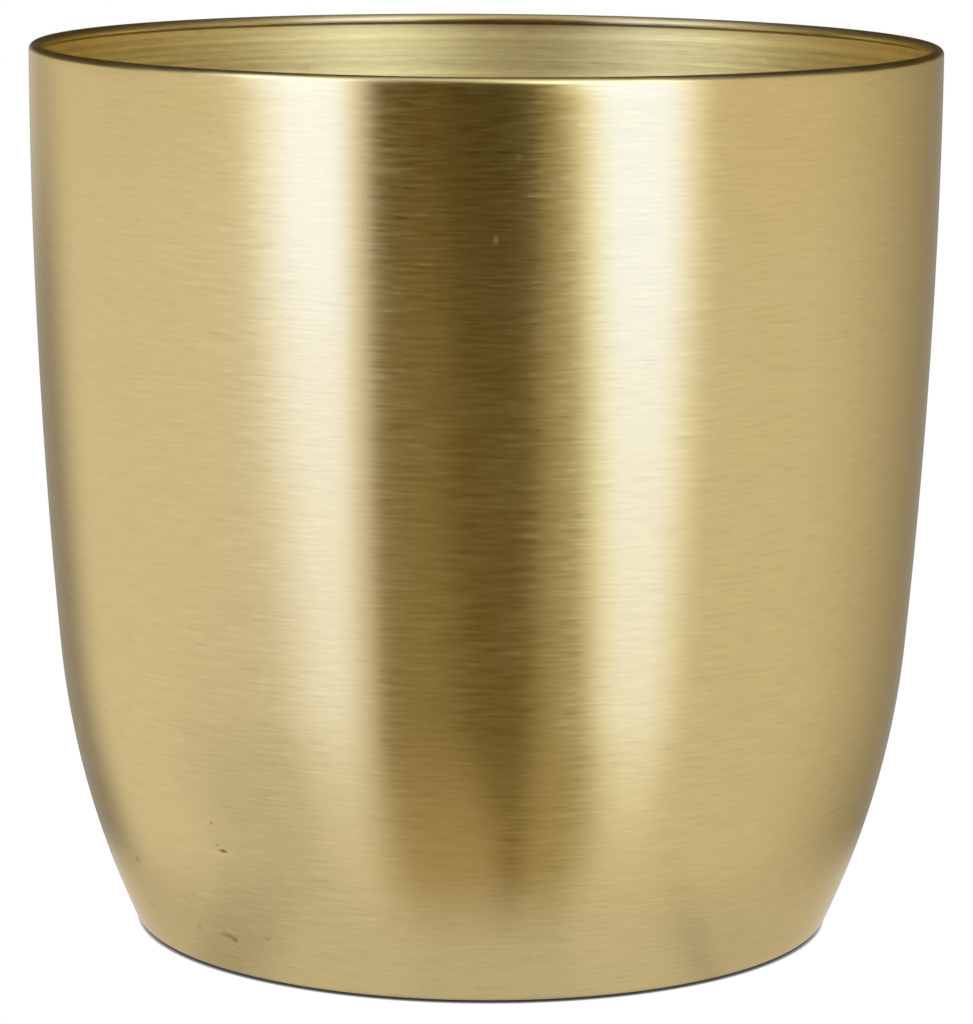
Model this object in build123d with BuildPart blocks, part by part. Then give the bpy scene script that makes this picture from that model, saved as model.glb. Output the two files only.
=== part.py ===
from build123d import *
import os

# A cachepot: one spun brass sheet, hemmed inwards at the rim and drawn in to a raised floor,
# standing on felt feet that adhesive films hold under the floor.
# Z is up, and Z = 0 is the surface that the feet stand on, under the middle of the pot.

# Driving dimensions, in millimetres

# Wall: a long upper sweep, upright at the rim, runs into a tighter lower one
RIM_RADIUS = 100.0
SHELL_HEIGHT = 195.6
BELLY_HEIGHT = 63.6
BELLY_RADIUS = 94.3
BASE_RADIUS = 77.2
SHEET = 0.7

# Rim: the sheet is folded inwards to an open hem, whose short straight leg stands off the wall
HEM_LEG = 0.5
HEM_GAP = 1.3

# Base: a rounded heel, a standing ring, and a middle that is raised over a sloping step.
# A bend is given by its inside radius
HEEL_BEND = 1.8
RING_WIDTH = 7.2
STEP_RUN = 2.0
STEP_RISE = 1.8
STEP_BEND = 1.0

# Feet: die-cut felt discs, each on a smaller film of adhesive, in a ring inside the step
FOOT_COUNT = 4
FOOT_RADIUS = 8.0
FOOT_THICKNESS = 2.0
FOOT_CLEARANCE = 4.0
FILM_THICKNESS = 0.15
FILM_INSET = 0.5

# Heights and radii that follow from these
floor_underside = FOOT_THICKNESS + FILM_THICKNESS
standing_ring = floor_underside - STEP_RISE
belly_line = standing_ring + BELLY_HEIGHT
fold_radius = SHEET + HEM_GAP / 2
fold_spring = standing_ring + SHELL_HEIGHT - fold_radius
hem_radius = RIM_RADIUS - 2 * fold_radius
ring_radius = BASE_RADIUS - RING_WIDTH
recess_radius = ring_radius - STEP_RUN
foot_ring_radius = recess_radius - FOOT_CLEARANCE - FOOT_RADIUS

os.makedirs("parts", exist_ok=True)

# Shell: the sheet's outer skin is drawn as one line, from the cut edge of the hem over the
# rim and down the wall to the middle of the floor, and thickened towards the inside
with BuildPart() as pot_shell:
    with BuildSketch(Plane.XZ):
        with BuildLine() as skin:
            hem_leg = Line((hem_radius, fold_spring - HEM_LEG), (hem_radius, fold_spring))
            fold = TangentArc(hem_leg @ 1, (RIM_RADIUS, fold_spring), tangent=hem_leg % 1)
            upper_wall = TangentArc(fold @ 1, (BELLY_RADIUS, belly_line), tangent=fold % 1)
            lower_wall = TangentArc(
                upper_wall @ 1, (BASE_RADIUS, standing_ring), tangent=upper_wall % 1
            )
            ring = Line(lower_wall @ 1, (ring_radius, standing_ring))
            step = Line(ring @ 1, (recess_radius, floor_underside))
            Line(step @ 1, (0, floor_underside))
            corners = skin.vertices()
            heel_corner = corners.sort_by_distance(lower_wall @ 1)[0]
            ring_corner = corners.sort_by_distance(ring @ 1)[0]
            recess_corner = corners.sort_by_distance(step @ 1)[0]
            fillet(heel_corner, HEEL_BEND + SHEET)
            fillet(ring_corner, STEP_BEND + SHEET)
            fillet(recess_corner, STEP_BEND)
            offset(amount=SHEET, side=Side.RIGHT)
        make_face()
    revolve(axis=Axis.Z)
pot_shell.part.label = "pot_shell"
export_step(pot_shell.part, "parts/pot_shell.step")

# Feet and their films, one pair at each place of the ring
places = PolarLocations(foot_ring_radius, FOOT_COUNT, start_angle=180 / FOOT_COUNT).locations
for number, place in enumerate(places, start=1):
    with BuildPart() as felt_foot:
        with BuildSketch(Plane(place)):
            Circle(FOOT_RADIUS)
        extrude(amount=FOOT_THICKNESS)
    felt_foot.part.label = f"felt_foot_{number}"
    export_step(felt_foot.part, f"parts/felt_foot_{number}.step")

    with BuildPart() as foot_adhesive:
        with BuildSketch(Plane(place).offset(FOOT_THICKNESS)):
            Circle(FOOT_RADIUS - FILM_INSET)
        extrude(amount=FILM_THICKNESS)
    foot_adhesive.part.label = f"foot_adhesive_{number}"
    export_step(foot_adhesive.part, f"parts/foot_adhesive_{number}.step")
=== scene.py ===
"""The looks of a brushed brass cachepot: its spun shell, felt feet, adhesive films and a small studio."""

import math

import bpy
from bpy.props import FloatProperty, FloatVectorProperty, IntProperty, PointerProperty
from mathutils import Matrix, Vector


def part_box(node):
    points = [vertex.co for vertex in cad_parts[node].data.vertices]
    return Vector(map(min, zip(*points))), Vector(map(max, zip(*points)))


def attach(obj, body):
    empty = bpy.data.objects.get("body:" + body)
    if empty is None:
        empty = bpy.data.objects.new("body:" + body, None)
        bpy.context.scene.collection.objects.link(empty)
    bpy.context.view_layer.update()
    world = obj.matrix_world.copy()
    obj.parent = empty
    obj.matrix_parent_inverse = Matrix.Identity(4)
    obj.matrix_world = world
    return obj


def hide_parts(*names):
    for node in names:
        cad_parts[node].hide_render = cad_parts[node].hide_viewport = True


bl_info = {
    "name": "Cachepot",
    "version": (1, 0, 0),
    "blender": (4, 5, 0),
    "location": "View3D > Sidebar > Cachepot",
    "description": "Models a brushed brass cachepot round its packed CAD frame and sets a studio for it",
    "category": "Object",
}

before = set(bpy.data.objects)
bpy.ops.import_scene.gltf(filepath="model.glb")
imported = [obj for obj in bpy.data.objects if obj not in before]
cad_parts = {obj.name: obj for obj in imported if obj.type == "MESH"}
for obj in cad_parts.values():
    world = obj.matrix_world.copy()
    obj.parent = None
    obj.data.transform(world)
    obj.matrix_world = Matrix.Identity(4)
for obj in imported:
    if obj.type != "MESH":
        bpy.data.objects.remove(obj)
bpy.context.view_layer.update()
shell_low, shell_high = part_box("pot_shell")

BODY = "root"
FOOT_NUMBERS = (1, 2, 3, 4)
QUARTER_TURN = math.pi / 2
HALF_TURN = math.pi
FULL_TURN = 2 * math.pi
IN_DEGREES = math.degrees(1)

# The line of the sheet is drawn in the XZ plane, so its bends turn about Y
BEND_AXIS = (0, 1, 0)
POT_AXIS = (0, 0, 1)
START_SIZE = 0.001
SAME_POINT = 1e-6
SHARP_ANGLE = math.radians(35)

# Number of edges along each part of that line
HEM_LEG_STEPS = 2
FOLD_STEPS = 14
UPPER_STEPS = 40
LOWER_STEPS = 40
HEEL_STEPS = 10
RING_STEPS = 3
STEP_BEND_STEPS = 5
STEP_SLOPE_STEPS = 1
FLOOR_STEPS = 10

# Feet and films: the felt's flat faces are cut into rings, fine enough for the bumps of its nap
FOOT_SEGMENTS = 96
FOOT_EDGE_SEGMENTS = 3
FOOT_RINGS = 12
FOOT_RING_WIDTH = 0.0006
NAP_SCALE = 0.0008
LEVEL = 0.99


class ShellSizes(bpy.types.PropertyGroup):
    """Sizes of the spun shell"""

    rim_radius: FloatProperty(
        name="Rim radius",
        description="Outside radius at the rim",
        default=shell_high.x,
        unit="LENGTH",
    )
    top: FloatProperty(
        name="Top",
        description="Height of the top of the fold above the surface that the feet stand on",
        default=shell_high.z,
        unit="LENGTH",
    )
    standing_ring: FloatProperty(
        name="Standing ring",
        description="Height of the ring under the heel above the surface that the feet stand on",
        default=shell_low.z,
        unit="LENGTH",
    )
    belly_radius: FloatProperty(
        name="Belly radius",
        description="Outside radius where the two sweeps of the wall meet",
        default=0.0943,
        unit="LENGTH",
    )
    belly_height: FloatProperty(
        name="Belly height",
        description="Height of that place above the standing ring",
        default=0.0636,
        unit="LENGTH",
    )
    base_radius: FloatProperty(
        name="Base radius",
        description="Outside radius at which the wall would meet the standing ring",
        default=0.0772,
        unit="LENGTH",
    )
    sheet: FloatProperty(
        name="Sheet",
        description="Thickness of the brass sheet",
        default=0.0007,
        unit="LENGTH",
    )
    hem_leg: FloatProperty(
        name="Hem leg",
        description="Length of the straight end of the hem inside the rim",
        default=0.0005,
        unit="LENGTH",
    )
    hem_gap: FloatProperty(
        name="Hem gap",
        description="Gap between the hem's straight end and the wall",
        default=0.0013,
        unit="LENGTH",
    )
    heel_bend: FloatProperty(
        name="Heel bend",
        description="Outside radius of the bend between wall and standing ring",
        default=0.0025,
        unit="LENGTH",
    )
    ring_width: FloatProperty(
        name="Ring width",
        description="Width of the standing ring, measured to its sharp corners",
        default=0.0072,
        unit="LENGTH",
    )
    step_run: FloatProperty(
        name="Step run",
        description="Horizontal length of the step inside the ring",
        default=0.002,
        unit="LENGTH",
    )
    step_rise: FloatProperty(
        name="Step rise",
        description="Height of the raised floor over the standing ring",
        default=0.0018,
        unit="LENGTH",
    )
    step_bend: FloatProperty(
        name="Step bend",
        description="Inside radius of the two bends of the step",
        default=0.001,
        unit="LENGTH",
    )
    segments: IntProperty(
        name="Segments",
        description="Number of faces round the pot",
        default=256,
        min=16,
    )


class FootSizes(bpy.types.PropertyGroup):
    """Sizes of the felt feet and their adhesive films"""

    soft_edge: FloatProperty(
        name="Soft edge",
        description="Rounding of the felt's cut edge",
        default=0.0003,
        unit="LENGTH",
    )
    nap: FloatProperty(
        name="Nap",
        description="Depth of the unevenness of the felt",
        default=0.00012,
        unit="LENGTH",
    )
    squeeze: FloatProperty(
        name="Squeeze",
        description="Rounding of the film's edge, where it is pressed out",
        default=0.00005,
        unit="LENGTH",
    )


class Finishes(bpy.types.PropertyGroup):
    """Colours and surface detail"""

    brass: FloatVectorProperty(
        name="Brass",
        description="Colour of the brushed brass",
        default=(0.617, 0.485, 0.231),
        subtype="COLOR",
        min=0.0,
        max=1.0,
    )
    # This colour also paints the shade under the edge of the hem inside
    tarnish: FloatVectorProperty(
        name="Tarnish",
        description="Colour of the small specks of tarnish",
        default=(0.12, 0.085, 0.03),
        subtype="COLOR",
        min=0.0,
        max=1.0,
    )
    brush_depth: FloatProperty(
        name="Brush depth",
        description="Depth of the brush lines",
        default=0.000012,
        unit="LENGTH",
        precision=6,
    )
    felt: FloatVectorProperty(
        name="Felt",
        description="Colour of the felt",
        default=(0.16, 0.13, 0.11),
        subtype="COLOR",
        min=0.0,
        max=1.0,
    )
    film: FloatVectorProperty(
        name="Film",
        description="Colour of the adhesive film",
        default=(0.85, 0.82, 0.74),
        subtype="COLOR",
        min=0.0,
        max=1.0,
    )


class Studio(bpy.types.PropertyGroup):
    """Camera and light"""

    distance: FloatProperty(
        name="Distance",
        description="Distance of the camera in front of the pot's axis",
        default=1.0085,
        unit="LENGTH",
    )
    height: FloatProperty(
        name="Height",
        description="Height of the camera above the floor",
        default=0.26625,
        unit="LENGTH",
    )
    tilt: FloatProperty(
        name="Tilt",
        description="How far the camera looks down",
        default=math.radians(9.836),
        subtype="ANGLE",
    )
    roll: FloatProperty(
        name="Roll",
        description="How far the camera leans",
        default=math.radians(0.373),
        subtype="ANGLE",
    )
    lens: FloatProperty(
        name="Lens",
        description="Focal length for a sensor 36 mm high, in millimetres",
        default=161.17,
    )
    shift: FloatProperty(
        name="Shift",
        description="Sideways shift of the frame, as a share of its height",
        default=0.003,
    )


# Modelling


def section(radius, height):
    """A point of the pot's section, which lies in the XZ plane."""
    return Vector((radius, 0, height))


def start_line(name, place):
    """A new mesh object with one selected vertex at that place, in edit mode."""
    bpy.ops.object.select_all(action="DESELECT")
    bpy.ops.mesh.primitive_plane_add(size=START_SIZE, location=(0, 0, 0))
    piece = bpy.context.object
    piece.name = name
    piece.data.name = name
    bpy.ops.object.mode_set(mode="EDIT")
    bpy.ops.mesh.select_all(action="SELECT")
    bpy.ops.mesh.merge(type="CENTER")
    bpy.ops.transform.translate(value=place)
    return piece


def draw_line(start, end, steps):
    """Draws the line on from its selected end, straight from start to end."""
    for _ in range(steps):
        bpy.ops.mesh.extrude_region_move(TRANSFORM_OT_translate={"value": (end - start) / steps})


def draw_bend(centre, angle, steps):
    """Draws the line on from its selected end, round a centre. A negative angle turns clockwise."""
    bpy.ops.mesh.spin(steps=steps, angle=angle, center=centre, axis=BEND_AXIS)


def apply_modifier(piece, kind, **settings):
    """Adds a modifier to a piece with these settings and applies it."""
    modifier = piece.modifiers.new(kind.title(), kind)
    for name, value in settings.items():
        setattr(modifier, name, value)
    bpy.ops.object.modifier_apply(modifier=modifier.name)


def draw_skin(sizes):
    """Draws the sheet's outer skin from the cut edge of the hem to the middle of the floor."""
    fold_radius = sizes.sheet + sizes.hem_gap / 2
    spring = sizes.top - fold_radius
    hem_radius = sizes.rim_radius - 2 * fold_radius
    leg_end = section(hem_radius, spring - sizes.hem_leg)
    leg_top = section(hem_radius, spring)
    skin = start_line("pot_shell_skin", leg_end)
    draw_line(leg_end, leg_top, HEM_LEG_STEPS)
    draw_bend(section(hem_radius + fold_radius, spring), -HALF_TURN, FOLD_STEPS)

    # The upper sweep leaves the fold upright and passes through the belly
    belly = section(sizes.belly_radius, sizes.standing_ring + sizes.belly_height)
    draw_in = sizes.rim_radius - belly.x
    fall = spring - belly.z
    upper_radius = (draw_in**2 + fall**2) / (2 * draw_in)
    upper_angle = -math.asin(fall / upper_radius)
    draw_bend(section(sizes.rim_radius - upper_radius, spring), upper_angle, UPPER_STEPS)

    # The lower sweep runs on from it, and would meet the standing ring at the base radius
    outwards = section(math.cos(upper_angle), math.sin(upper_angle))
    to_base = section(sizes.base_radius, sizes.standing_ring) - belly
    lower_radius = -to_base.length_squared / (2 * to_base.dot(outwards))
    lower_centre = belly - lower_radius * outwards

    # The heel rounds off that corner
    heel_rise = sizes.standing_ring + sizes.heel_bend - lower_centre.z
    heel_run = math.sqrt((lower_radius - sizes.heel_bend) ** 2 - heel_rise**2)
    heel_centre = lower_centre + section(heel_run, heel_rise)
    heel_angle = math.atan2(heel_rise, heel_run)
    draw_bend(lower_centre, heel_angle - upper_angle, LOWER_STEPS)
    draw_bend(heel_centre, -QUARTER_TURN - heel_angle, HEEL_STEPS)

    # The standing ring, the sloping step with its two bends, and the raised floor
    ring_corner = section(sizes.base_radius - sizes.ring_width, sizes.standing_ring)
    recess_corner = ring_corner + section(-sizes.step_run, sizes.step_rise)
    slope = (recess_corner - ring_corner).normalized()
    slope_angle = math.atan2(sizes.step_rise, sizes.step_run)
    ring_bend = sizes.step_bend + sizes.sheet
    ring_setback = ring_bend * math.tan(slope_angle / 2)
    recess_setback = sizes.step_bend * math.tan(slope_angle / 2)
    ring_end = ring_corner + section(ring_setback, 0)
    recess_end = recess_corner - section(recess_setback, 0)
    draw_line(section(heel_centre.x, sizes.standing_ring), ring_end, RING_STEPS)
    draw_bend(ring_end + section(0, ring_bend), -slope_angle, STEP_BEND_STEPS)
    slope_start = ring_corner + ring_setback * slope
    slope_end = recess_corner - recess_setback * slope
    draw_line(slope_start, slope_end, STEP_SLOPE_STEPS)
    draw_bend(recess_end - section(0, sizes.step_bend), slope_angle, STEP_BEND_STEPS)
    draw_line(recess_end, section(0, recess_end.z), FLOOR_STEPS)
    return skin


class AddPotShell(bpy.types.Operator):
    """Draws the sheet's outer skin as one line, spins it round the axis and thickens it inwards"""

    bl_idname = "cachepot.add_pot_shell"
    bl_label = "Pot shell"

    def execute(self, context):
        sizes = context.scene.cachepot_shell
        shell = draw_skin(sizes)
        bpy.ops.mesh.select_all(action="SELECT")
        bpy.ops.mesh.spin(steps=sizes.segments, angle=FULL_TURN, center=(0, 0, 0), axis=POT_AXIS)
        bpy.ops.mesh.select_all(action="SELECT")
        bpy.ops.mesh.remove_doubles(threshold=SAME_POINT)
        bpy.ops.mesh.normals_make_consistent(inside=False)
        bpy.ops.object.mode_set(mode="OBJECT")

        finishes = context.scene.cachepot_finishes
        fold_spring = sizes.top - sizes.sheet - sizes.hem_gap / 2
        shell.data.materials.append(brushed_brass(finishes, fold_spring))
        shell.data.materials.append(spun_brass(finishes, fold_spring - sizes.hem_leg))
        apply_modifier(
            shell,
            "SOLIDIFY",
            thickness=sizes.sheet,
            offset=-1,
            use_even_offset=True,
            material_offset=1,
            material_offset_rim=1,
        )
        bpy.ops.object.shade_smooth_by_angle(angle=SHARP_ANGLE)
        shell.name = "brass_shell"
        shell.data.name = shell.name
        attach(shell, BODY)
        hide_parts("pot_shell")
        return {"FINISHED"}


def round_disc(name, node):
    """A cylinder in the place of a CAD node, in edit mode, with its flat faces selected."""
    low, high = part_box(node)
    bpy.ops.object.select_all(action="DESELECT")
    bpy.ops.mesh.primitive_cylinder_add(
        vertices=FOOT_SEGMENTS,
        radius=(high.x - low.x) / 2,
        depth=high.z - low.z,
        location=(low + high) / 2,
    )
    disc = bpy.context.object
    disc.name = name
    disc.data.name = name
    bpy.ops.object.transform_apply(location=True, rotation=True, scale=True)
    bpy.ops.object.mode_set(mode="EDIT")
    bpy.ops.mesh.select_all(action="DESELECT")
    bpy.ops.mesh.select_mode(type="FACE")
    select_flat_faces(disc)
    return disc


def select_flat_faces(disc):
    """Selects the faces of a disc that look straight up or down."""
    bpy.ops.object.mode_set(mode="OBJECT")
    for face in disc.data.polygons:
        face.select = abs(face.normal.z) > LEVEL
    bpy.ops.object.mode_set(mode="EDIT")


def middle(piece):
    """The middle of a piece's box."""
    corners = [Vector(corner) for corner in piece.bound_box]
    return sum(corners, Vector()) / len(corners)


def copy_round(piece, node):
    """Copies a piece into the place of another CAD node on the same ring, with its own mesh."""
    bpy.ops.object.select_all(action="DESELECT")
    piece.select_set(True)
    bpy.context.view_layer.objects.active = piece
    bpy.ops.object.duplicate(linked=False)
    copy = bpy.context.object
    low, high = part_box(node)
    move = (low + high) / 2 - middle(piece)
    bpy.ops.object.mode_set(mode="EDIT")
    bpy.ops.mesh.select_all(action="SELECT")
    bpy.ops.transform.translate(value=move)
    bpy.ops.object.mode_set(mode="OBJECT")
    return copy


def set_round(first, kind, node):
    """Copies the first of four like pieces to the other places, and ties each to its CAD node."""
    copies = [copy_round(first, f"{node}_{number}") for number in FOOT_NUMBERS[1:]]
    for number, piece in zip(FOOT_NUMBERS, [first, *copies]):
        piece.name = f"{kind}_{number}"
        piece.data.name = piece.name
        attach(piece, BODY)
        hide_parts(f"{node}_{number}")


class AddFeltFeet(bpy.types.Operator):
    """Cuts one felt disc with a soft, uneven surface and copies it to the other feet"""

    bl_idname = "cachepot.add_felt_feet"
    bl_label = "Felt feet"

    def execute(self, context):
        sizes = context.scene.cachepot_feet
        first = round_disc("felt_pad_1", "felt_foot_1")
        bpy.ops.mesh.bevel(offset=sizes.soft_edge, segments=FOOT_EDGE_SEGMENTS, affect="EDGES")
        select_flat_faces(first)
        for _ in range(FOOT_RINGS):
            bpy.ops.mesh.inset(thickness=FOOT_RING_WIDTH)
        bpy.ops.object.mode_set(mode="OBJECT")
        nap = bpy.data.textures.new("felt_nap", "CLOUDS")
        nap.noise_scale = NAP_SCALE
        apply_modifier(first, "DISPLACE", texture=nap, strength=sizes.nap, mid_level=1.0)
        bpy.ops.object.shade_smooth()
        first.data.materials.append(pressed_felt(context.scene.cachepot_finishes))
        set_round(first, "felt_pad", "felt_foot")
        return {"FINISHED"}


class AddAdhesiveFilms(bpy.types.Operator):
    """Makes one thin film with a pressed-out edge and copies it to the other feet"""

    bl_idname = "cachepot.add_adhesive_films"
    bl_label = "Adhesive films"

    def execute(self, context):
        sizes = context.scene.cachepot_feet
        first = round_disc("adhesive_film_1", "foot_adhesive_1")
        bpy.ops.mesh.bevel(offset=sizes.squeeze, segments=FOOT_EDGE_SEGMENTS, affect="EDGES")
        bpy.ops.object.mode_set(mode="OBJECT")
        bpy.ops.object.shade_smooth_by_angle(angle=SHARP_ANGLE)
        first.data.materials.append(clear_adhesive(context.scene.cachepot_finishes))
        set_round(first, "adhesive_film", "foot_adhesive")
        return {"FINISHED"}


# Shading

# Brass: highlights stretch across the brush lines, and edges stay golden at a glance
BRUSH_STRETCH = 0.6
ACROSS_BRUSH = 0.25
BRASS_EDGE_TINT = (0.95, 0.87, 0.72, 1.0)
RIM_BRASS = (0.605, 0.468, 0.205, 1.0)
RIM_BRASS_HEIGHTS = (0.150, 0.192)
# The inside's brass is painted lighter than the outside's, as painted light inside the pot
INSIDE_BRASS_PAINTED_LIGHTER = (0.83, 0.672, 0.277)

# Patterns that lie round the pot: changes in a metre round it and across, detail, roughness
STRAIGHT_LINES = (140, 1500, 1.0, 0.4)
LINE_STRETCHES = (500, 600, 1.0, 0.5)
NICKS = (500, 700, 0.0, 0.5)
SPECKS = (300, 600, 1.0, 0.4)
SPUN_RINGS = (5, 950, 2.0, 0.55)

# Even patterns: changes in a metre, detail, roughness
BRUSHED_CLOUDS = (22.0, 3.0, 0.55)
SPUN_CLOUDS = (25.0, 3.0, 0.55)
GRIME = (900.0, 2.0, 0.6)
FELT_FLECKS = (2600.0, 2.0, 0.6)
FILM_HAZE = (700.0, 3.0, 0.6)

# The felt's fibres follow a pattern that a finer one bends
FELT_WANDER = {"Scale": 900.0, "Detail": 2.0}
FELT_FIBRES = (14.0, 4.0, 0.7)

# Every pattern runs from 0 to 1 about this middle
PATTERN_MIDDLE = 0.5

# Brush lines: their strength, and how much it changes from stretch to stretch
LINE_STRENGTH = 0.72
LINE_STRENGTH_CHANGE = 3.0

# Outside: tone and roughness, and what lines, clouds, nicks and the fold change in them
BRUSHED_TONE = 0.825
LINE_TONE = 0.3
CLOUD_TONE = 0.05
PAINTED_FOLD_SHADE = 0.12
BRUSHED_ROUGHNESS = 0.13
LINE_ROUGHNESS = 0.1
CLOUD_ROUGHNESS = 0.02
NICK_ROUGHNESS = 0.04
FOLD_ROUGHNESS = 0.13
INNER_FOLD_ROUGHNESS = 0.17
NICK_EDGE = (0.80, 0.88)
FOLD_START = 0.0004
FOLD_END = 0.0006
INNER_FOLD_RADII = (0.0980, 0.0990)

# Outside: the share of light that lines and scuffs scatter widely
HAZE_ROUGHNESS = 0.6
LINE_HAZE = 0.19
CLEAR_SHARE = 0.066
SCUFF_HAZE = 0.3

# Inside: tone, roughness and relief, and what lines, rings and clouds change in them
SPUN_TONE = 0.42
SPUN_LINE_TONE = 0.4
RING_TONE = 0.7
SPUN_CLOUD_TONE = 0.06
PAINTED_LIGHT_TONE = 0.15
SPUN_ROUGHNESS = 0.47
RING_ROUGHNESS = 0.1
RING_RELIEF = 2.0
SPUN_LINE_RELIEF = 0.5

# Inside: the painted shade under the edge of the hem and the painted light band below it, by their depth
# below that edge
HEM_SHADE_DEPTH = 0.0007
HEM_SHADE_FADES = (0.0003, 0.0002)
HEM_SHADE_STRENGTH = 0.7
PAINTED_LIGHT_START = 0.008
PAINTED_LIGHT_END = 0.001

# Felt and film: tone, and what fibres, flecks and haze change in it
FELT_TONE = 0.6
FIBRE_TONE = 0.5
FLECK_TONE = 0.4
FELT_RELIEF = 0.0001
FELT_ROUGHNESS = 0.95
FELT_SHEEN = 0.4
FILM_TONE = 0.9
FILM_ROUGHNESS = 0.3
HAZE_CHANGE = 0.2

# Marks of tarnish: bearing from the front in degrees, height, half length, half width, strength
TARNISH_MARKS = (
    (-38.0, 0.0307, 0.0010, 0.00035, 0.9),
    (-38.9, 0.0318, 0.0005, 0.00020, 0.5),
    (-39.2, 0.0367, 0.0005, 0.00035, 0.5),
    (-60.3, 0.0220, 0.0012, 0.00070, 0.4),
    (-60.8, 0.0113, 0.0004, 0.00060, 0.5),
    (-47.6, 0.0103, 0.0006, 0.00080, 0.3),
    (-41.5, 0.0100, 0.0018, 0.00050, 0.5),
    (-40.2, 0.0094, 0.0008, 0.00060, 0.6),
    (-33.5, 0.0112, 0.0007, 0.00030, 0.4),
)

# Small scuffs high on the front, given in the same way
SCUFFS = (
    (1.2, 0.1637, 0.0005, 0.0010, 0.9),
    (7.7, 0.1745, 0.0004, 0.0012, 0.8),
    (3.8, 0.1801, 0.0004, 0.0006, 0.8),
)
MARK_EDGE = (0.0, 1.7)
MARK_RAGGEDNESS = 1.4

# Specks of tarnish, which fade out up the wall
SPECK_EDGE = (0.68, 0.80)
SPECK_STRENGTH = 0.1
SPECK_HEIGHTS = (0.012, 0.05)


class Term:
    """A socket of a node tree. Operators on terms and numbers add Math nodes to the tree."""

    def __init__(self, tree, socket):
        self.tree = tree
        self.socket = socket

    def math(self, operation, *values):
        """The result of a Math node."""
        sockets = dict(enumerate(values))
        return self.tree.node("ShaderNodeMath", {"operation": operation}, sockets).term(0)

    def __add__(self, other):
        return self.math("ADD", self, other)

    def __radd__(self, other):
        return self.math("ADD", other, self)

    def __sub__(self, other):
        return self.math("SUBTRACT", self, other)

    def __rsub__(self, other):
        return self.math("SUBTRACT", other, self)

    def __mul__(self, other):
        return self.math("MULTIPLY", self, other)

    def __rmul__(self, other):
        return self.math("MULTIPLY", other, self)

    def __truediv__(self, other):
        return self.math("DIVIDE", self, other)

    def __rtruediv__(self, other):
        return self.math("DIVIDE", other, self)

    def __pow__(self, other):
        return self.math("POWER", self, other)

    def __neg__(self):
        return self.math("MULTIPLY", self, -1.0)

    def fade(self, start, end):
        """A smooth step from 0 at start to 1 at end."""
        settings = {"interpolation_type": "SMOOTHSTEP"}
        sockets = {"Value": self, "From Min": start, "From Max": end}
        return self.tree.node("ShaderNodeMapRange", settings, sockets).term("Result")

    def window(self, start, end, start_fade, end_fade):
        """1 between start and end and 0 outside, with a smooth fade centred on each of them."""
        rise = self.fade(start - start_fade / 2, start + start_fade / 2)
        fall = self.fade(end - end_fade / 2, end + end_fade / 2)
        return rise * (1 - fall)


class Made:
    """A node that was added to a tree."""

    def __init__(self, tree, node):
        self.tree = tree
        self.node = node

    def term(self, name):
        """One of the node's outputs, by name or number."""
        return Term(self.tree, self.node.outputs[name])


class Tree:
    """A node tree that nodes are added to."""

    def __init__(self, nodes):
        self.tree = nodes
        self.tree.nodes.clear()

    def node(self, kind, settings=None, sockets=None):
        """Adds a node of a kind: its settings are set first, then its sockets get values or links."""
        node = self.tree.nodes.new(kind)
        for name, value in (settings or {}).items():
            setattr(node, name, value)
        for name, value in (sockets or {}).items():
            if isinstance(value, Term):
                self.tree.links.new(value.socket, node.inputs[name])
            else:
                node.inputs[name].default_value = value
        return Made(self, node)

    def mix(self, factor, first, second):
        """A colour between two colours."""
        # The colour sockets go by number, because those for numbers and vectors have the same names
        sockets = {0: factor, 6: first, 7: second}
        return self.node("ShaderNodeMix", {"data_type": "RGBA"}, sockets).term(2)

    def tint(self, colour, factor):
        """A colour times a number."""
        sockets = {0: colour, "Scale": factor}
        return self.node("ShaderNodeVectorMath", {"operation": "SCALE"}, sockets).term(0)

    def vector(self, x, y, z):
        """A vector from three numbers."""
        return self.node("ShaderNodeCombineXYZ", {}, {"X": x, "Y": y, "Z": z}).term(0)

    def axes(self, vector):
        """The three numbers of a vector."""
        split = self.node("ShaderNodeSeparateXYZ", {}, {0: vector})
        return split.term("X"), split.term("Y"), split.term("Z")

    def noise(self, vector, scale, detail, roughness):
        """Soft noise from 0 to 1 over a vector."""
        sockets = {"Vector": vector, "Scale": scale, "Detail": detail, "Roughness": roughness}
        return self.node("ShaderNodeTexNoise", {"noise_dimensions": "3D"}, sockets).term(0)

    def bump(self, height, depth):
        """Normals for a relief of that depth."""
        sockets = {"Strength": 1.0, "Distance": depth, "Height": height}
        return self.node("ShaderNodeBump", {}, sockets).term("Normal")

    def blend(self, factor, first, second):
        """A shader between two shaders."""
        return self.node("ShaderNodeMixShader", {}, {0: factor, 1: first, 2: second}).term(0)

    def place(self):
        """The point on the piece, in metres."""
        return self.node("ShaderNodeTexCoord").term("Object")


def opaque(colour):
    """A colour with its alpha."""
    return (*colour, 1.0)


def new_material(name):
    """A material with an empty node tree."""
    material = bpy.data.materials.new(name)
    material.use_nodes = True
    return material, Tree(material.node_tree)


def finish_material(tree, shader):
    """Sends a shader to the tree's output."""
    tree.node("ShaderNodeOutputMaterial", {}, {"Surface": shader})


def brass(tree, colour, roughness, normal):
    """Bare brass whose brush lines run round the pot, so that highlights stretch up and down it."""
    return tree.node(
        "ShaderNodeBsdfPrincipled",
        {"distribution": "MULTI_GGX"},
        {
            "Base Color": colour,
            "Metallic": 1.0,
            "Roughness": roughness,
            "Specular Tint": BRASS_EDGE_TINT,
            "Anisotropic": BRUSH_STRETCH,
            "Anisotropic Rotation": ACROSS_BRUSH,
            "Normal": normal,
        },
    ).term("BSDF")


def bearing_of(x, y):
    """The bearing of a place or direction from the front, in radians, growing to the right."""
    return x.math("ARCTAN2", x, -y)


def distance(across, along):
    """How far a point of a plane lies from the plane's middle."""
    return (across * across + along * along) ** 0.5


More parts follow.
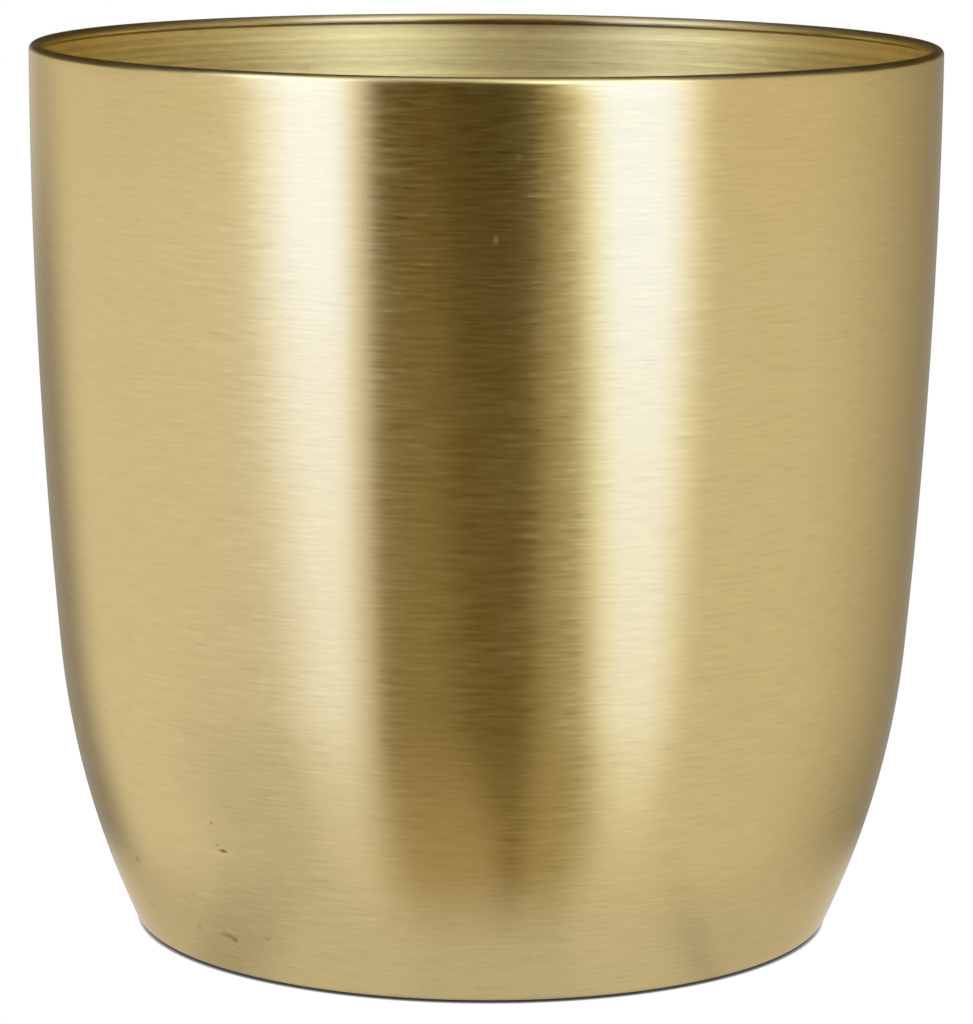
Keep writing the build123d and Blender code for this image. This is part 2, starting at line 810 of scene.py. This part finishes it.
def round_noise(tree, x, y, along, pattern):
    """Noise in a pattern that lies round the pot."""
    changes_round, changes_across, detail, roughness = pattern
    place = tree.vector(x * changes_round, y * changes_round, along * changes_across)
    return tree.noise(place, 1.0, detail, roughness)


def brush_lines(tree, x, y, along):
    """Straight brush lines that run round the pot and come and go along the way."""
    straight = round_noise(tree, x, y, along, STRAIGHT_LINES)
    stretches = round_noise(tree, x, y, along, LINE_STRETCHES)
    strength = LINE_STRENGTH + LINE_STRENGTH_CHANGE * (stretches - PATTERN_MIDDLE)
    return PATTERN_MIDDLE + (straight - PATTERN_MIDDLE) * strength


def small_marks(marks, x, y, z, radius, ragged):
    """Small, ragged marks at given places on the wall."""
    bearing = bearing_of(x, y)
    marked = None
    for degrees, height, length, width, strength in marks:
        across = (bearing - math.radians(degrees)) * radius / length
        up = (z - height) / width
        reach = distance(across, up) + MARK_RAGGEDNESS * ragged
        mark = (1 - reach.fade(*MARK_EDGE)) * strength
        marked = mark if marked is None else marked + mark
    return marked


def brushed_brass(finishes, fold_spring):
    """The outside of the shell."""
    material, tree = new_material("brushed_brass")
    place = tree.place()
    x, y, z = tree.axes(place)
    radius = distance(x, y)
    along = z + radius
    lines = brush_lines(tree, x, y, along)
    clouds = tree.noise(place, *BRUSHED_CLOUDS)
    nicks = round_noise(tree, x, y, along, NICKS).fade(*NICK_EDGE)

    # Specks and marks of tarnish gather near the foot of the wall
    ragged = tree.noise(place, *GRIME) - PATTERN_MIDDLE
    low_down = 1 - z.fade(*SPECK_HEIGHTS)
    specks = round_noise(tree, x, y, along, SPECKS).fade(*SPECK_EDGE)
    tarnish = SPECK_STRENGTH * low_down * specks
    tarnish = tarnish + small_marks(TARNISH_MARKS, x, y, z, radius, ragged)
    scuffs = small_marks(SCUFFS, x, y, z, radius, ragged)

    # The brush doesn't reach the inner half of the fold, which stays duller and rougher, and that half is
    # painted darker as painted shade
    fold = z.fade(fold_spring - FOLD_START, fold_spring + FOLD_END)
    inner_fold = fold * (1 - radius.fade(*INNER_FOLD_RADII))

    tone = BRUSHED_TONE + LINE_TONE * lines + CLOUD_TONE * clouds - PAINTED_FOLD_SHADE * inner_fold
    colour = tree.mix(z.fade(*RIM_BRASS_HEIGHTS), opaque(finishes.brass), RIM_BRASS)
    colour = tree.tint(colour, tone)
    colour = tree.mix(tarnish.math("MINIMUM", tarnish, 1.0), colour, opaque(finishes.tarnish))
    roughness = BRUSHED_ROUGHNESS + LINE_ROUGHNESS * lines + CLOUD_ROUGHNESS * clouds
    roughness = roughness + NICK_ROUGHNESS * nicks + FOLD_ROUGHNESS * fold
    roughness = roughness + INNER_FOLD_ROUGHNESS * inner_fold

    # Each brush line scatters a little light widely, which shows where the brass mirrors the dark
    normal = tree.bump(lines, finishes.brush_depth)
    clean = brass(tree, colour, roughness, normal)
    hazy = brass(tree, colour, HAZE_ROUGHNESS, normal)
    haze = LINE_HAZE * lines - CLEAR_SHARE + SCUFF_HAZE * scuffs
    finish_material(tree, tree.blend(haze, clean, hazy))
    return material


def spun_brass(finishes, hem_edge):
    """The inside of the shell, where the rings that the roller left still show."""
    material, tree = new_material("spun_brass")
    place = tree.place()
    x, y, z = tree.axes(place)
    along = z + distance(x, y)
    lines = brush_lines(tree, x, y, along)
    clouds = tree.noise(place, *SPUN_CLOUDS)
    rings = round_noise(tree, x, y, along, SPUN_RINGS)

    # Painted shade darkens the crevice under the edge of the hem with the tarnish colour, and a painted
    # light band brightens the wall below it
    painted_hem_shade = z.window(hem_edge - HEM_SHADE_DEPTH, hem_edge, *HEM_SHADE_FADES)
    painted_light_band = z.fade(hem_edge - PAINTED_LIGHT_START, hem_edge - PAINTED_LIGHT_END)
    tone = SPUN_TONE + SPUN_LINE_TONE * lines + RING_TONE * rings
    tone = tone + SPUN_CLOUD_TONE * clouds + PAINTED_LIGHT_TONE * painted_light_band
    # The lighter inside colour is painted light
    colour = tree.tint(INSIDE_BRASS_PAINTED_LIGHTER, tone)
    colour = tree.mix(HEM_SHADE_STRENGTH * painted_hem_shade, colour, opaque(finishes.tarnish))
    roughness = SPUN_ROUGHNESS + RING_ROUGHNESS * rings
    relief = RING_RELIEF * rings + SPUN_LINE_RELIEF * lines
    normal = tree.bump(relief, finishes.brush_depth)
    finish_material(tree, brass(tree, colour, roughness, normal))
    return material


def pressed_felt(finishes):
    """Matt felt with a tangle of short fibres."""
    material, tree = new_material("pressed_felt")
    place = tree.place()
    wander = tree.node("ShaderNodeTexNoise", {}, {"Vector": place, **FELT_WANDER})
    fibres = tree.noise(wander.term("Color"), *FELT_FIBRES)
    flecks = tree.noise(place, *FELT_FLECKS)
    tone = FELT_TONE + FIBRE_TONE * fibres + FLECK_TONE * flecks
    shader = tree.node(
        "ShaderNodeBsdfPrincipled",
        {},
        {
            "Base Color": tree.tint(tuple(finishes.felt), tone),
            "Roughness": FELT_ROUGHNESS,
            "Sheen Weight": FELT_SHEEN,
            "Normal": tree.bump(fibres + flecks, FELT_RELIEF),
        },
    )
    finish_material(tree, shader.term("BSDF"))
    return material


def clear_adhesive(finishes):
    """A thin, slightly milky film."""
    material, tree = new_material("clear_adhesive")
    haze = tree.noise(tree.place(), *FILM_HAZE)
    shader = tree.node(
        "ShaderNodeBsdfPrincipled",
        {},
        {
            "Base Color": tree.tint(tuple(finishes.film), FILM_TONE + HAZE_CHANGE * haze),
            "Roughness": FILM_ROUGHNESS + HAZE_CHANGE * haze,
        },
    )
    finish_material(tree, shader.term("BSDF"))
    return material


# Stage

# Studio: places are bearings and rises in degrees, and bearing 0 is the front, where the camera is.
# Two numbers are the ends of a fade, and four are the ends of a window and the widths of its fades
WHITE = (1.0, 1.0, 1.0, 1.0)
LEFT_WALL = (1.0, 1.0, 1.02, 1.0)
RIGHT_WALL = (0.93, 0.9, 0.83, 1.0)
RIGHT_WALL_BEARINGS = (10, 160, 60, 40)

# Back of the room: how much dimmer it is, more so higher up and less so at the top on the left
LIT_BEARINGS = (-136, 124, 26, 80)
BACK_SHADE = 0.35
BACK_UPPER_SHADE = 0.27
BACK_UPPER_RISES = (-45, -25)
LEFT_TOP_LIGHT = 0.3
LEFT_TOP_RISES = (-8, -5)
LEFT_TOP_BEARINGS = (-170, 0, 20, 120)

# Upper walls: how they fall off upwards, and the dark behind the pot
FALL_OFF = 0.9
FALL_OFF_RISES = (5, 42)
FRONT_BEARINGS = (-92, 95, 40, 40)
DARK_BACK = (0.05, 0.036, 0.014, 1.0)
DARK_BACK_SHARE = 0.95
DARK_BACK_RISES = (-1, 7)

# Lamp over the front: its rise, and the fade round it
LAMP = (1.3, 1.3, 1.35, 1.0)
LAMP_RISE = math.radians(68)
LAMP_EDGE = (4, 43)

# Table, and the shade on it of the left softbox's stand
TABLE_EDGE = (-24, -15)
TABLE_TONE = 0.97
STAND_SHADE = 0.17
STAND_BEARINGS = (-92, -52, 30, 18)

# Dark side: its colours and those of its core, on the table, above it and near the pot
SIDE_ON_TABLE = (0.315, 0.255, 0.125, 1.0)
SIDE_ABOVE = (0.118, 0.085, 0.01, 1.0)
SIDE_NEAR = (0.56, 0.47, 0.29, 1.0)
CORE_ON_TABLE = (0.175, 0.13, 0.045, 1.0)
CORE_ABOVE = (0.064, 0.048, 0.0, 1.0)
CORE_NEAR = (0.3, 0.235, 0.1, 1.0)
ABOVE_RISES = (-12, -8)
NEAR_RISES = (-45, -16)

# Dark side: its edges, those of its core and of its right shoulder, some of which lean
LEAN_FROM = 5
CORE_LEFT = (-15, -3)
CORE_LEFT_SHIFT = 15
CORE_RIGHT = (10, 18)
SHOULDER = (0.5, 0.43, 0.24, 1.0)
SHOULDER_EDGE = (9.5, 19.5)
SHOULDER_LEAN = 0.12
GAP_LEFT = (-30.5, -26)
GAP_RIGHT = (18.3, 23.3)
GAP_TOP = (6, 62)
SOFT_GAP_BEARINGS = (-31, 32, 22, 20)

# Softboxes: their edges, and the shares of their light low on the table, on it and above it
BOX_TOP = (38, 60)
LOW_RISES = (-44, -24)
TABLE_RISES = (-23.5, -18.5)
LEFT_LEAN = 0.45
LEFT_BOX_LEFT = (-66.5, -46)
LEFT_BOX_RIGHT = (-37, -30)
LEFT_BOX_SHARES = (0.2, 0.33, 0.47)
RIGHT_LEAN = 0.42
RIGHT_BOX_LEFT = (19.8, 30)
RIGHT_BOX_COOL = (21, 31)
RIGHT_BOX_RIGHT = (43.5, 59)
RIGHT_BOX_LIGHT = 1.06
RIGHT_BOX_SHARES = (0.35, 0.3, 0.35)

# Softboxes in each colour: shares of the light and of its square, and of the stronger light high up
RED_SHINE = (1.2, -0.54)
GREEN_SHINE = (1.45, -0.33)
LEFT_BLUE_SHINE = (2.2, 0.95)
RIGHT_BLUE_SHINE = (1.6, 1.5)
HIGH_RED_SHINE = 1.95
HIGH_GREEN_SHINE = 2.0
HIGH_BLUE_SHINE = 1.4
HIGH_RISES = (8, 18)
HIGH_SHINE = 0.86
HIGH_SHINE_RIGHT = 0.26
HIGH_SHINE_BEARINGS = (-20, 20)

# Floor: its own shade, and how bright the brass sees it in front, in the middle and at the sides
FLOOR_SIZE = 4.0
FLOOR_GREY = (0.8, 0.8, 0.8, 1.0)
FLOOR_RADII = (0.085, 0.125)
SHADE_SAMPLES = 8
SHADE_REACH = 0.001
SHADE_POWER = 2
SHADED_GLOW = 0.46
OPEN_GLOW = 0.26
FLOOR_LIGHT = 0.88
FLOOR_FRONT_LIGHT = 0.28
FLOOR_FRONT_BEARINGS = (-37, 36, 15, 12)
FLOOR_MIDDLE_SHADE = 0.08
FLOOR_MIDDLE_BEARINGS = (-10, 15, 10, 8)
FLOOR_SIDE_LIGHT = 0.17
FLOOR_INNER_BEARINGS = (-54, 42, 10, 8)

# Camera: the longer side of its sensor, in millimetres
SENSOR = 36.0


def mirrored(ray):
    """1 for a ray that was mirrored or bent on its way, and 0 for any other."""
    glossy = ray.term("Is Glossy Ray")
    return glossy.math("MAXIMUM", glossy, ray.term("Is Transmission Ray"))


def pale_walls(tree, y, z, bearing, rise):
    """Pale walls, the right one a little dimmer, the table, and a lamp over the front."""
    walls = tree.mix(bearing.window(*RIGHT_WALL_BEARINGS), LEFT_WALL, RIGHT_WALL)
    back = 1 - bearing.window(*LIT_BEARINGS)
    left_top = rise.fade(*LEFT_TOP_RISES) * bearing.window(*LEFT_TOP_BEARINGS)
    shade = BACK_SHADE + BACK_UPPER_SHADE * rise.fade(*BACK_UPPER_RISES) - LEFT_TOP_LIGHT * left_top
    walls = tree.tint(walls, 1 - back * shade)

    # Higher up they fall off, and are dark behind the pot
    high = tree.tint(walls, 1 - FALL_OFF * rise.fade(*FALL_OFF_RISES))
    behind = 1 - bearing.window(*FRONT_BEARINGS)
    high = tree.mix(DARK_BACK_SHARE * behind * rise.fade(*DARK_BACK_RISES), high, DARK_BACK)

    # The lamp hangs over the front
    towards_lamp = z * math.sin(LAMP_RISE) - y * math.cos(LAMP_RISE)
    from_lamp = z.math("ARCCOSINE", towards_lamp) * IN_DEGREES
    high = tree.mix(1 - from_lamp.fade(*LAMP_EDGE), high, LAMP)

    # The table lies in the shade of the left softbox's stand
    over_table = rise.fade(*TABLE_EDGE)
    stand = bearing.window(*STAND_BEARINGS) * (1 - over_table)
    table = tree.tint(walls, TABLE_TONE - STAND_SHADE * stand)
    return tree.mix(over_table, table, high)


def with_dark_side(tree, pale, bearing, rise, right_lean, above):
    """The walls with the dark side between the softboxes, which has a core and a right shoulder."""
    # It is darkest above the table, and grows paler and softer down the table
    near = 1 - rise.fade(*NEAR_RISES)
    core = tree.mix(near, tree.mix(above, CORE_ON_TABLE, CORE_ABOVE), CORE_NEAR)
    side = tree.mix(near, tree.mix(above, SIDE_ON_TABLE, SIDE_ABOVE), SIDE_NEAR)
    core_left = bearing - CORE_LEFT_SHIFT * near
    side = tree.mix(core_left.fade(*CORE_LEFT) * (1 - bearing.fade(*CORE_RIGHT)), side, core)
    shoulder = bearing + SHOULDER_LEAN * (rise + LEAN_FROM)
    side = tree.mix(shoulder.fade(*SHOULDER_EDGE), side, SHOULDER)
    sharp_gap = bearing.fade(*GAP_LEFT) * (1 - right_lean.fade(*GAP_RIGHT))
    soft_gap = bearing.window(*SOFT_GAP_BEARINGS)
    gap = (sharp_gap + near * (soft_gap - sharp_gap)) * (1 - rise.fade(*GAP_TOP))
    return tree.mix(gap, pale, side)


def down_table(rise, above, shares):
    """How much of a softbox's light is left at a rise, because it shines on the table as well."""
    low, on_table, over_table = shares
    share = low * rise.fade(*LOW_RISES) + on_table * rise.fade(*TABLE_RISES)
    return share + over_table * above


def shine(light, once, twice):
    """A softbox's light in one colour, whose share changes with the light."""
    return light * (once + twice * light)


def softboxes(tree, bearing, rise, right_lean, above):
    """The light of the two leaning softboxes, which goes further down the table on the right."""
    below_top = 1 - rise.fade(*BOX_TOP)
    left_lean = bearing + LEFT_LEAN * (rise + LEAN_FROM)
    left_box = left_lean.fade(*LEFT_BOX_LEFT) * (1 - bearing.fade(*LEFT_BOX_RIGHT)) * below_top
    left_box = left_box * down_table(rise, above, LEFT_BOX_SHARES)
    right_box = RIGHT_BOX_LIGHT * (1 - bearing.fade(*RIGHT_BOX_RIGHT)) * below_top
    right_box = right_box * down_table(rise, above, RIGHT_BOX_SHARES)

    # The right one's light is warmer along its edge next to the dark side
    boxes = left_box + right_box * right_lean.fade(*RIGHT_BOX_LEFT)
    right_cool = right_box * right_lean.fade(*RIGHT_BOX_COOL)
    to_right = bearing.fade(*HIGH_SHINE_BEARINGS)
    strong = rise.fade(*HIGH_RISES) * (HIGH_SHINE + HIGH_SHINE_RIGHT * to_right)
    high = boxes * strong
    red = shine(boxes, *RED_SHINE) + HIGH_RED_SHINE * high
    green = shine(boxes, *GREEN_SHINE) + HIGH_GREEN_SHINE * high
    blue = shine(left_box, *LEFT_BLUE_SHINE) + shine(right_cool, *RIGHT_BLUE_SHINE)
    blue = blue + HIGH_BLUE_SHINE * high
    return tree.vector(red, green, blue)


def studio_world():
    """White to the camera. Metal sees pale walls, two softboxes and the dark side with the camera."""
    world = bpy.data.worlds.new("studio")
    world.use_nodes = True
    world.cycles.sampling_method = "NONE"
    tree = Tree(world.node_tree)
    x, y, z = tree.axes(tree.node("ShaderNodeTexCoord").term("Generated"))
    bearing = bearing_of(x, y) * IN_DEGREES
    rise = z.math("ARCSINE", z) * IN_DEGREES
    right_lean = bearing + RIGHT_LEAN * (rise + LEAN_FROM)
    above = rise.fade(*ABOVE_RISES)
    pale = pale_walls(tree, y, z, bearing, rise)
    walls = with_dark_side(tree, pale, bearing, rise, right_lean, above)
    boxes = softboxes(tree, bearing, rise, right_lean, above)
    studio = tree.node("ShaderNodeVectorMath", {"operation": "ADD"}, {0: boxes, 1: walls}).term(0)
    colour = tree.mix(mirrored(tree.node("ShaderNodeLightPath")), WHITE, studio)
    background = tree.node("ShaderNodeBackground", {}, {"Color": colour, "Strength": 1.0})
    tree.node("ShaderNodeOutputWorld", {}, {"Surface": background.term(0)})
    return world


def pale_floor():
    """White to the camera apart from the pot's own shade. Metal sees it close to the pot only."""
    bpy.ops.object.select_all(action="DESELECT")
    bpy.ops.mesh.primitive_plane_add(size=FLOOR_SIZE, location=(0, 0, 0))
    floor = bpy.context.object
    floor.name = "floor"
    material, tree = new_material("pale_floor")
    material.cycles.emission_sampling = "NONE"
    x, y, _ = tree.axes(tree.place())
    bearing = bearing_of(x, y) * IN_DEGREES
    settings = {"samples": SHADE_SAMPLES}
    shade = tree.node("ShaderNodeAmbientOcclusion", settings, {"Distance": SHADE_REACH}).term("AO")
    ray = tree.node("ShaderNodeLightPath")
    seen = ray.term("Is Camera Ray")
    bent = mirrored(ray)

    # It is brighter in front, most of all under the two softboxes
    light = FLOOR_LIGHT + FLOOR_FRONT_LIGHT * bearing.window(*FLOOR_FRONT_BEARINGS)
    light = light - FLOOR_MIDDLE_SHADE * bearing.window(*FLOOR_MIDDLE_BEARINGS)
    light = light + FLOOR_SIDE_LIGHT * (1 - bearing.window(*FLOOR_INNER_BEARINGS))
    glow = seen * shade**SHADE_POWER + bent * (SHADED_GLOW + OPEN_GLOW * shade) * light
    pale = tree.node("ShaderNodeEmission", {}, {"Color": tree.tint(WHITE[:3], glow)}).term(0)
    matt = tree.node("ShaderNodeBsdfDiffuse", {}, {"Color": FLOOR_GREY}).term(0)
    clear = tree.node("ShaderNodeBsdfTransparent").term(0)

    # Other rays meet a matt floor, and none meets it from below
    surface = tree.blend(seen.math("MAXIMUM", seen, bent), matt, pale)
    below = tree.node("ShaderNodeNewGeometry").term("Backfacing")
    gone = below.math("MAXIMUM", below, bent * distance(x, y).fade(*FLOOR_RADII))
    finish_material(tree, tree.blend(gone, surface, clear))
    floor.data.materials.append(material)


class SetStage(bpy.types.Operator):
    """Sets the floor, the light and the camera"""

    bl_idname = "cachepot.set_stage"
    bl_label = "Stage"

    def execute(self, context):
        scene = context.scene
        studio = scene.cachepot_studio
        pale_floor()
        scene.world = studio_world()
        scene.view_settings.view_transform = "Standard"

        data = bpy.data.cameras.new("camera")
        data.sensor_width = SENSOR
        data.lens = studio.lens
        data.shift_x = studio.shift
        camera = bpy.data.objects.new("camera", data)
        scene.collection.objects.link(camera)
        camera.location = (0, -studio.distance, studio.height)
        camera.rotation_mode = "XYZ"
        tilt = Matrix.Rotation(QUARTER_TURN - studio.tilt, 4, "X")
        roll = Matrix.Rotation(studio.roll, 4, "Z")
        camera.rotation_euler = (tilt @ roll).to_euler()
        scene.camera = camera
        return {"FINISHED"}


class CachepotPanel(bpy.types.Panel):
    """The cachepot's steps and sizes"""

    bl_idname = "VIEW3D_PT_cachepot"
    bl_label = "Cachepot"
    bl_space_type = "VIEW_3D"
    bl_region_type = "UI"
    bl_category = "Cachepot"

    def draw(self, context):
        scene = context.scene
        for operator in OPERATORS:
            self.layout.operator(operator.bl_idname)
        for group in PROPERTIES:
            box = self.layout.box()
            values = getattr(scene, group)
            for name in values.__annotations__:
                box.prop(values, name)


OPERATORS = (AddPotShell, AddFeltFeet, AddAdhesiveFilms, SetStage)
PROPERTIES = {
    "cachepot_shell": ShellSizes,
    "cachepot_feet": FootSizes,
    "cachepot_finishes": Finishes,
    "cachepot_studio": Studio,
}
CLASSES = (*PROPERTIES.values(), *OPERATORS, CachepotPanel)


def register():
    for cls in CLASSES:
        bpy.utils.register_class(cls)
    for name, group in PROPERTIES.items():
        setattr(bpy.types.Scene, name, PointerProperty(type=group))


def unregister():
    for name in PROPERTIES:
        delattr(bpy.types.Scene, name)
    for cls in reversed(CLASSES):
        bpy.utils.unregister_class(cls)


def main():
    """Adds every piece and the stage."""
    register()
    bpy.ops.cachepot.add_pot_shell()
    bpy.ops.cachepot.add_felt_feet()
    bpy.ops.cachepot.add_adhesive_films()
    bpy.ops.cachepot.set_stage()


if __name__ == "__main__":
    main()
